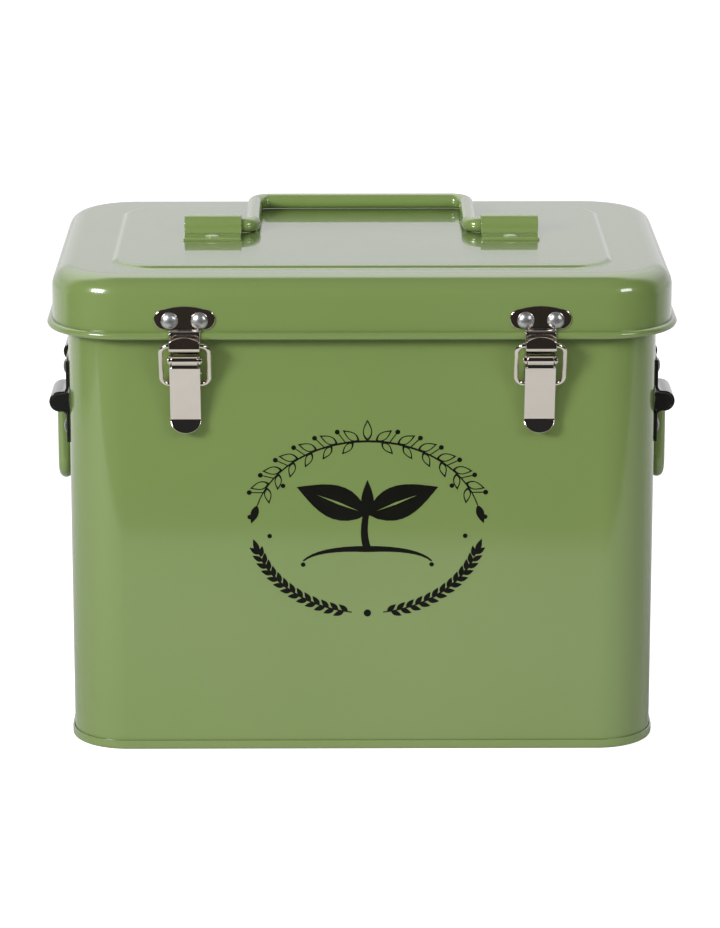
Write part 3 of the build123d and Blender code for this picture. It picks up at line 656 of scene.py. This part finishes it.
# Black caps close the end straps' outer ends: dark sheets painted where the hollow under the hump is in
# shade.
shade_cap_y = 55.6
shade_cap_radius = 3.4
shade_cap_depth = 0.7
shade_cap_foot_x = 120.8
shade_cap_foot = (3.8, 0.66, 7.0)
for side, way in (("left", -1), ("right", 1)):
    strap = draw_strap(
        f"lid_strap_{side}",
        (way * lid_strap_x, lid_strap_front, lid_strap_z),
        (0, 1, 0),
        (lid_strap_width, strap_sheet),
        (1, 0, 0),
        flange=9.65,
        rise=0.2,
        hump=4.05,
    )
    fit(strap, fitting_enamel_painted_lighter, "lid", "green_enamel", f"lid_handle_bracket_{side}")
    for end, toward in (("front", -1), ("rear", 1)):
        strap = draw_strap(
            f"end_strap_{side}_{end}",
            (way * end_strap_x, toward * end_strap_y, end_strap_foot),
            (0, 0, 1),
            (strap_sheet, end_strap_width),
            (0, way, 0),
            flange=10.75,
            rise=0.65,
            hump=3.65,
        )
        # A black cap and foot over the strap's outer end stand in for the shade in its hollow.
        shade_cap_middle = Vector((way * drop_axis_x, toward * shade_cap_y, drop_axis_z))
        bpy.ops.object.select_all(action="DESELECT")
        bpy.ops.mesh.primitive_cylinder_add(
            vertices=40,
            radius=shade_cap_radius * MM,
            depth=shade_cap_depth * MM,
            location=shade_cap_middle * MM,
            rotation=(math.radians(90), 0, 0),
        )
        close(begin("painted_shade_cap"))
        shade_cap_middle.x = way * shade_cap_foot_x
        bpy.ops.object.select_all(action="DESELECT")
        bpy.ops.mesh.primitive_cube_add(size=MM, location=shade_cap_middle * MM, scale=shade_cap_foot)
        close(begin("painted_shade_cap_foot"))
        bpy.data.objects["painted_shade_cap"].select_set(True)
        strap.select_set(True)
        bpy.context.view_layer.objects.active = strap
        bpy.ops.object.join()
        fit(strap, black_enamel, "box", "green_enamel", f"side_bracket_{side}_{end}")

# ---------------------------------------------------------------- rivets
# Solid rivets: the head is a low dome, the tail is hammered over on the inside. Each is enamelled
# with its strap, and those of the keepers are bare satin aluminium.


def rivet_row(name, places, outward, head_radius, rise, tail_radius, grip):
    """One rivet head and its tail, made once and copied to each place."""
    outward = Vector(outward)
    bpy.ops.object.select_all(action="DESELECT")
    bpy.ops.mesh.primitive_uv_sphere_add(segments=32, ring_count=16, radius=head_radius * MM)
    bpy.context.object.scale.z = rise / head_radius
    head = begin(name)
    choose(head, "FACE", lambda points: sum(point.z for point in points) < 0)
    bpy.ops.mesh.delete(type="FACE")
    choose(head, "EDGE", at_height(0.0))
    bpy.ops.mesh.extrude_region_move(TRANSFORM_OT_translate={"value": (0, 0, -0.02 * MM)})
    bpy.ops.mesh.edge_face_add()
    close(head)
    bpy.ops.object.select_all(action="DESELECT")
    bpy.ops.mesh.primitive_cone_add(
        vertices=24,
        radius1=tail_radius * 0.6 * MM,
        radius2=tail_radius * MM,
        depth=0.6 * MM,
        location=(0, 0, -(grip + 0.3) * MM),
    )
    tail = begin(name + "_tail")
    bpy.ops.mesh.select_all(action="SELECT")
    bpy.ops.mesh.bevel(offset=0.15 * MM, segments=2, affect="EDGES")
    close(tail)
    bpy.ops.object.select_all(action="DESELECT")
    tail.select_set(True)
    head.select_set(True)
    bpy.context.view_layer.objects.active = head
    bpy.ops.object.join()
    row = []
    for place in places:
        bpy.ops.object.select_all(action="DESELECT")
        rivet = head.copy()
        rivet.data = head.data.copy()
        bpy.context.scene.collection.objects.link(rivet)
        rivet.rotation_euler = outward.to_track_quat("Z", "Y").to_euler()
        rivet.location = Vector(place) * MM
        rivet.select_set(True)
        bpy.context.view_layer.objects.active = rivet
        bpy.ops.object.transform_apply(location=True, rotation=True, scale=True)
        row.append(rivet)
    bpy.data.objects.remove(head)
    bpy.ops.object.select_all(action="DESELECT")
    for rivet in row:
        rivet.select_set(True)
    bpy.context.view_layer.objects.active = row[0]
    bpy.ops.object.join()
    row[0].name = name
    return row[0]


lid_rivet_y = 12.0
lid_rivet_z = lid_strap_z + strap_sheet / 2
lid_points = [
    (x, y, lid_rivet_z) for x in (-lid_strap_x, lid_strap_x) for y in (-lid_rivet_y, lid_rivet_y)
]
lid_rivets = rivet_row(
    "lid_strap_rivets", lid_points, (0, 0, 1), head_radius=3.1, rise=0.9, tail_radius=2.3, grip=2.0
)
fit(lid_rivets, fitting_enamel_painted_lighter, "lid", "green_enamel", "lid_bracket_rivets")

end_rivet_x = end_strap_x + strap_sheet / 2
end_rivet_rise = 12.5
for side, way in (("left", -1), ("right", 1)):
    end_points = [
        (way * end_rivet_x, y, drop_axis_z + rise)
        for y in (-end_strap_y, end_strap_y)
        for rise in (-end_rivet_rise, end_rivet_rise)
    ]
    end_rivets = rivet_row(
        f"end_strap_rivets_{side}",
        end_points,
        (way, 0, 0),
        head_radius=3.2,
        rise=1.6,
        tail_radius=2.3,
        grip=2.0,
    )
    replaced = ("side_bracket_rivets",) if side == "left" else ()
    fit(end_rivets, black_enamel, "box", "green_enamel", *replaced)


def satin_aluminium(name):
    """Bare aluminium with the fine pitting and soft smears of a pressed rivet."""
    satin = Finish(name, Metallic=1.0)
    pitting = satin.noise(300.0)
    satin.feed("Base Color", satin.between(pitting, (0.60, 0.61, 0.62), (0.74, 0.75, 0.76)))
    satin.feed("Roughness", 0.3 + 0.14 * satin.noise(260.0, 3.0))
    satin.bump(satin.noise(900.0, 3.0), 0.000012)
    return satin.material


rivet_aluminium = satin_aluminium("rivet_aluminium")
latch_x = 70.7
keeper_front = -83.4
keeper_rivet_z = 181.2
keeper_rivet_half = 5.95
keeper_points = [
    (way * latch_x + end * keeper_rivet_half, keeper_front, keeper_rivet_z)
    for way in (-1, 1)
    for end in (-1, 1)
]
keeper_rivets = rivet_row(
    "keeper_rivet_heads", keeper_points, (0, -1, 0), head_radius=3.45, rise=2.0, tail_radius=2.3, grip=1.6
)
fit(keeper_rivets, rivet_aluminium, "lid", "aluminium", "keeper_rivets")

# ---------------------------------------------------------------- wire handles
# The carrying handle is one 6.3 mm steel wire, bent to a flat bow and turned out into the straps.
# The drop handles are bent the same way from 5.5 mm wire. All are enamelled, and the drop handles'
# # ends are painted near-black as the shade inside the straps.
handle_wire = 3.15
handle_axis_z = 203.1
handle_end_x = 72.3
handle_end = 23.0
handle_leg = 41.6
handle_grip = 76.8
leg = (4.4, 90, (0, 0, 1))
bow = (6.5, -90, (0, 0, 1))
lid_handle = draw_wire(
    "carrying_handle",
    (-handle_end_x, 0, handle_axis_z),
    (1, 0, 0),
    handle_wire,
    [handle_end, leg, handle_leg, bow, handle_grip, bow, handle_leg, leg, handle_end],
    sides=32,
)
fit(lid_handle, fitting_enamel_painted_lighter, "lid_handle", "green_enamel", "lid_handle")

drop_wire = 2.75
drop_end_y = 55.0
drop_end = 21.0
drop_leg = 25.5
drop_grip = 44.0
out = (4.5, -90, (1, 0, 0))
foot = (7.5, 90, (1, 0, 0))
# The drop handles' ends inside the straps are painted near-black as shade.
drop_enamel = gloss_enamel("drop_enamel", 0.00008, shade_beyond=drop_end_y - 0.1)
for side, way in (("left", -1), ("right", 1)):
    drop_handle = draw_wire(
        f"drop_handle_{side}",
        (way * drop_axis_x, -drop_end_y, drop_axis_z),
        (0, 1, 0),
        drop_wire,
        [drop_end, out, drop_leg, foot, drop_grip, foot, drop_leg, out, drop_end],
        sides=32,
    )
    fit(drop_handle, drop_enamel, f"side_handle_{side}", "green_enamel", f"side_handle_{side}")

# ---------------------------------------------------------------- toggle latches
# Each latch is nickel-plated spring steel: a hook plate on the lid, a lever that turns on a pin in
# a base plate on the wall, and a wire bail from the lever's flanges up into the hook.
nodes = frame["nodes"]


def soften(name, node, width, steps=2, clamp=True):
    """A copy of a node's mesh, its triangles merged to flat faces and its edges rounded."""
    bpy.ops.object.select_all(action="DESELECT")
    piece = nodes[node].copy()
    piece.data = nodes[node].data.copy()
    piece.name = name
    piece.parent = None
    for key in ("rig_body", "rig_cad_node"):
        del piece[key]
    bpy.context.scene.collection.objects.link(piece)
    piece.select_set(True)
    bpy.context.view_layer.objects.active = piece
    bpy.ops.object.mode_set(mode="EDIT")
    bpy.ops.mesh.select_all(action="SELECT")
    bpy.ops.mesh.remove_doubles(threshold=0.002 * MM)
    bpy.ops.mesh.dissolve_limited(angle_limit=math.radians(0.5))
    bpy.ops.object.mode_set(mode="OBJECT")
    apply(
        piece,
        "BEVEL",
        width=width * MM,
        segments=steps,
        limit_method="ANGLE",
        angle_limit=math.radians(40),
        use_clamp_overlap=clamp,
    )
    return piece


def nickel_plate(name):
    """Bright nickel, a little warm, with polishing marks and a faint haze."""
    nickel = Finish(name, Metallic=1.0)
    haze = nickel.noise(120.0, 3.0)
    nickel.feed("Base Color", nickel.between(haze, (0.88, 0.80, 0.73), (0.95, 0.89, 0.83)))
    stretched = {"Vector": nickel.place, "Scale": (1400.0, 1400.0, 90.0)}
    marks = nickel.node("ShaderNodeMapping", {}, stretched)["Vector"]
    streaks = nickel.noise(1.0, 2.0, marks)
    nickel.feed("Roughness", 0.045 + 0.03 * streaks + 0.04 * haze)
    mark_depth = 0.0000016
    nickel.bump(streaks + 2.0 * nickel.noise(150.0, 1.0), mark_depth)
    return nickel.material


latch_nickel = nickel_plate("latch_nickel")

bail_wire = 1.0
bail_foot_y = -79.3
bail_foot_z = 154.5
bail_across = 12.4
bail_side = 12.177
bail_corner = (3.4, 90, (0, -17.3, -7.8))
half_bail = [bail_across / 2, bail_corner, bail_side, bail_corner]
for side, way in (("left", -1), ("right", 1)):
    keeper = soften(f"hook_plate_{side}", f"keeper_{side}", 0.36, 4, clamp=False)
    fit(keeper, latch_nickel, "lid", "nickel_plate", f"keeper_{side}")
    lever = soften(f"toggle_lever_{side}", f"latch_lever_{side}", 0.34, 4, clamp=False)
    fit(lever, latch_nickel, f"lever_{side}", "nickel_plate", f"latch_lever_{side}")
    base = soften(f"latch_plate_{side}", f"latch_base_{side}", 0.15)
    fit(base, latch_nickel, "box", "nickel_plate", f"latch_base_{side}")
    pin = soften(f"lever_pin_{side}", f"latch_pin_{side}", 0.12)
    fit(pin, latch_nickel, "box", "nickel_plate", f"latch_pin_{side}")
    bail = draw_wire(
        f"wire_bail_{side}",
        (way * latch_x, bail_foot_y, bail_foot_z),
        (1, 0, 0),
        bail_wire,
        [*half_bail, bail_across, *reversed(half_bail)],
        sides=20,
        closed=True,
    )
    fit(bail, latch_nickel, f"bail_{side}", "nickel_plate", f"latch_bail_{side}")

nodes["latch_rivets"].data.materials.clear()
nodes["latch_rivets"].data.materials.append(latch_nickel)

# ---------------------------------------------------------------- hinges
# Two steel hinges behind: a leaf riveted to the wall and a leaf cranked round the hem, joined by a
# plain pin. The leaves and rivets are enamelled with the box, the pins are plated.
for side in ("left", "right"):
    for part, body in (("body", "box"), ("lid", "lid")):
        hinge_leaf = soften(f"{part}_hinge_leaf_{side}", f"hinge_{part}_leaf_{side}", 0.2)
        fit(hinge_leaf, fitting_enamel_painted_lighter, body, "green_enamel", f"hinge_{part}_leaf_{side}")
    nodes[f"hinge_pin_{side}"].data.materials.clear()
    nodes[f"hinge_pin_{side}"].data.materials.append(latch_nickel)

hinge_x = 70.0
hinge_rivet_half = 9.0
hinge_rivets = (
    ("hinge_wall_rivets", 77.5, 154.5, "box", "hinge_body_rivets"),
    ("hinge_skirt_rivets", 83.6, 185.0, "lid", "hinge_lid_rivets"),
)
for name, y, z, body, node in hinge_rivets:
    rear_points = [(way * hinge_x + end * hinge_rivet_half, y, z) for way in (-1, 1) for end in (-1, 1)]
    rivets = rivet_row(name, rear_points, (0, 1, 0), head_radius=2.4, rise=0.9, tail_radius=2.0, grip=1.8)
    fit(rivets, fitting_enamel_painted_lighter, body, "green_enamel", node)

# ---------------------------------------------------------------- partition and dividers
# Inside, a fixed sheet makes two bays, and an L-shaped sheet in each bay slides front to back to
# keep the packets upright. All are thin enamelled steel.
inner_sheets = {"partition": "box", "divider_left": "divider_left", "divider_right": "divider_right"}
for node, body in inner_sheets.items():
    sheet = soften(f"{node}_sheet", node, 0.15)
    fit(sheet, fitting_enamel_painted_lighter, body, "green_enamel", node)

# ---------------------------------------------------------------- studio
# A pale floor before a white backdrop, a small soft box on each side in front and a wide dim lamp
# between them. Only gloss sees the dark card in front of the box, and the dim room above it.
bpy.ops.object.select_all(action="DESELECT")
bpy.ops.mesh.primitive_plane_add(size=12.0, location=(0, 0, -0.0002))
floor = bpy.context.object
floor.name = "floor"
bpy.ops.object.transform_apply(location=True, rotation=True, scale=True)
floor_paper = Finish("floor_paper", Roughness=0.9, Emission_Color=(1.0, 1.0, 1.0, 1.0))
floor_shade = floor_paper.between(floor_paper.noise(3.0), (0.80, 0.80, 0.79), (0.83, 0.83, 0.82))
floor_paper.feed("Base Color", floor_shade)
floor_ray = floor_paper.node("ShaderNodeLightPath", {}, {})
floor_depth = floor_paper.node("ShaderNodeSeparateXYZ", {}, {"Vector": floor_paper.place})["Y"]
far_glow = floor_ray["Is Glossy Ray"] * floor_paper.ramp(floor_depth, 0.0, 0.5) * 0.45
floor_paper.feed("Emission Strength", floor_ray["Is Camera Ray"] + far_glow)
floor.data.materials.append(floor_paper.material)

# The card's near edge lies about 0.3 m before the box, and far out to both sides the card reaches
# back beside the box.
bpy.ops.object.select_all(action="DESELECT")
bpy.ops.mesh.primitive_plane_add(size=1.0, location=(0, -2.925, 0.002))
card = bpy.context.object
card.name = "dark_card"
card.scale = (12.0, 6.15, 1.0)
bpy.ops.object.transform_apply(location=True, rotation=True, scale=True)
card_paper = Finish("dark_card_paper", Roughness=0.9, Specular_IOR_Level=0.0)
card_shade = card_paper.between(card_paper.noise(5.0), (0.022, 0.018, 0.015), (0.030, 0.025, 0.021))
card_paper.feed("Base Color", card_shade)
card_place = card_paper.node("ShaderNodeSeparateXYZ", {}, {"Vector": card_paper.place})
in_front = card_paper.ramp(card_place["Y"] - card_place["X"] * 0.11, -0.365, -0.405)
aside = card_paper.ramp(abs(card_place["X"] - 0.09), 0.72, 0.80)
beside = aside * card_paper.ramp(card_place["Y"], 0.15, 0.0)
card_paper.feed("Alpha", in_front.or_more(beside))
card.data.materials.append(card_paper.material)
card.visible_camera = False
card.visible_diffuse = False
card.visible_shadow = False


class Backdrop(Finish):
    """The world round the object, its nodes added in the way of a finish."""

    def __init__(self, name):
        self.world = bpy.data.worlds.new(name)
        self.world.use_nodes = True
        self.tree = self.world.node_tree
        self.shader = self.tree.nodes["Background"]
        self.place = self.node("ShaderNodeTexCoord", {}, {})["Generated"]


# The camera sees plain white. Gloss sees a white wall behind the box, brighter above, where it
# ends at the ceiling, and a dim room in front. All other rays meet an even dim light.
studio = Backdrop("studio")
bpy.context.scene.world = studio.world
ray = studio.node("ShaderNodeLightPath", {}, {})
heading = studio.node("ShaderNodeSeparateXYZ", {}, {"Vector": studio.place})
wall_stops = [
    (rise, (glow, glow, glow))
    for rise, glow in ((0.27, 0.405), (0.50, 0.65), (0.80, 1.06), (0.90, 1.10), (0.965, 0.05))
]
wall_glow = studio.node("ShaderNodeValToRGB", {"stops": wall_stops}, {"Fac": heading["Z"]})["Color"]
behind = studio.ramp(heading["Y"], 0.0, 0.3) * 2.0
high_front = 0.02 + 0.11 * studio.ramp(heading["Z"], 0.75, 0.9)
room = wall_glow * behind + high_front
unseen = ray["Is Glossy Ray"] * room + (1 - ray["Is Glossy Ray"]) * 0.2
studio.feed("Strength", ray["Is Camera Ray"] + (1 - ray["Is Camera Ray"]) * unseen)
studio.shader.inputs["Color"].default_value = (1.0, 1.0, 1.0, 1.0)


def soft_lamp(name, place, target, width, height, power):
    """A soft box that faces a point."""
    bpy.ops.object.light_add(type="AREA", location=place)
    lamp = bpy.context.object
    lamp.name = name
    lamp.data.shape = "RECTANGLE"
    lamp.data.size = width
    lamp.data.size_y = height
    lamp.data.energy = power
    lamp.rotation_euler = (Vector(target) - Vector(place)).to_track_quat("-Z", "Y").to_euler()
    return lamp


front_lamp = soft_lamp("front_lamp", (0.0, -2.2, 1.75), (0, 0, 0.1), 2.2, 1.0, 11.0)
front_lamp.visible_glossy = False
soft_lamp("left_soft_box", (-1.25, -1.39, 0.87), (0, 0, 0.12), 0.62, 0.42, 28.0)
soft_lamp("right_soft_box", (1.24, -1.40, 0.87), (0, 0, 0.12), 0.6, 0.4, 7.0)

# The camera stands a little above the lid and a long way off.
elevation = math.radians(14.752)
swing = math.radians(-0.383)
target = Vector((-0.0005, 0.0, 0.1004))
distance = 1.6888
level = math.cos(elevation)
away = Vector((math.sin(swing) * level, -math.cos(swing) * level, math.sin(elevation)))
bpy.ops.object.camera_add(location=target + away * distance)
camera = bpy.context.object
camera.name = "camera"
camera.rotation_euler = (-away).to_track_quat("-Z", "Y").to_euler()
camera.data.sensor_fit = "VERTICAL"
camera.data.sensor_height = 36.0
camera.data.lens = 155.3
camera.data.clip_start = 0.01
bpy.context.scene.camera = camera
bpy.context.scene.view_settings.view_transform = "Standard"
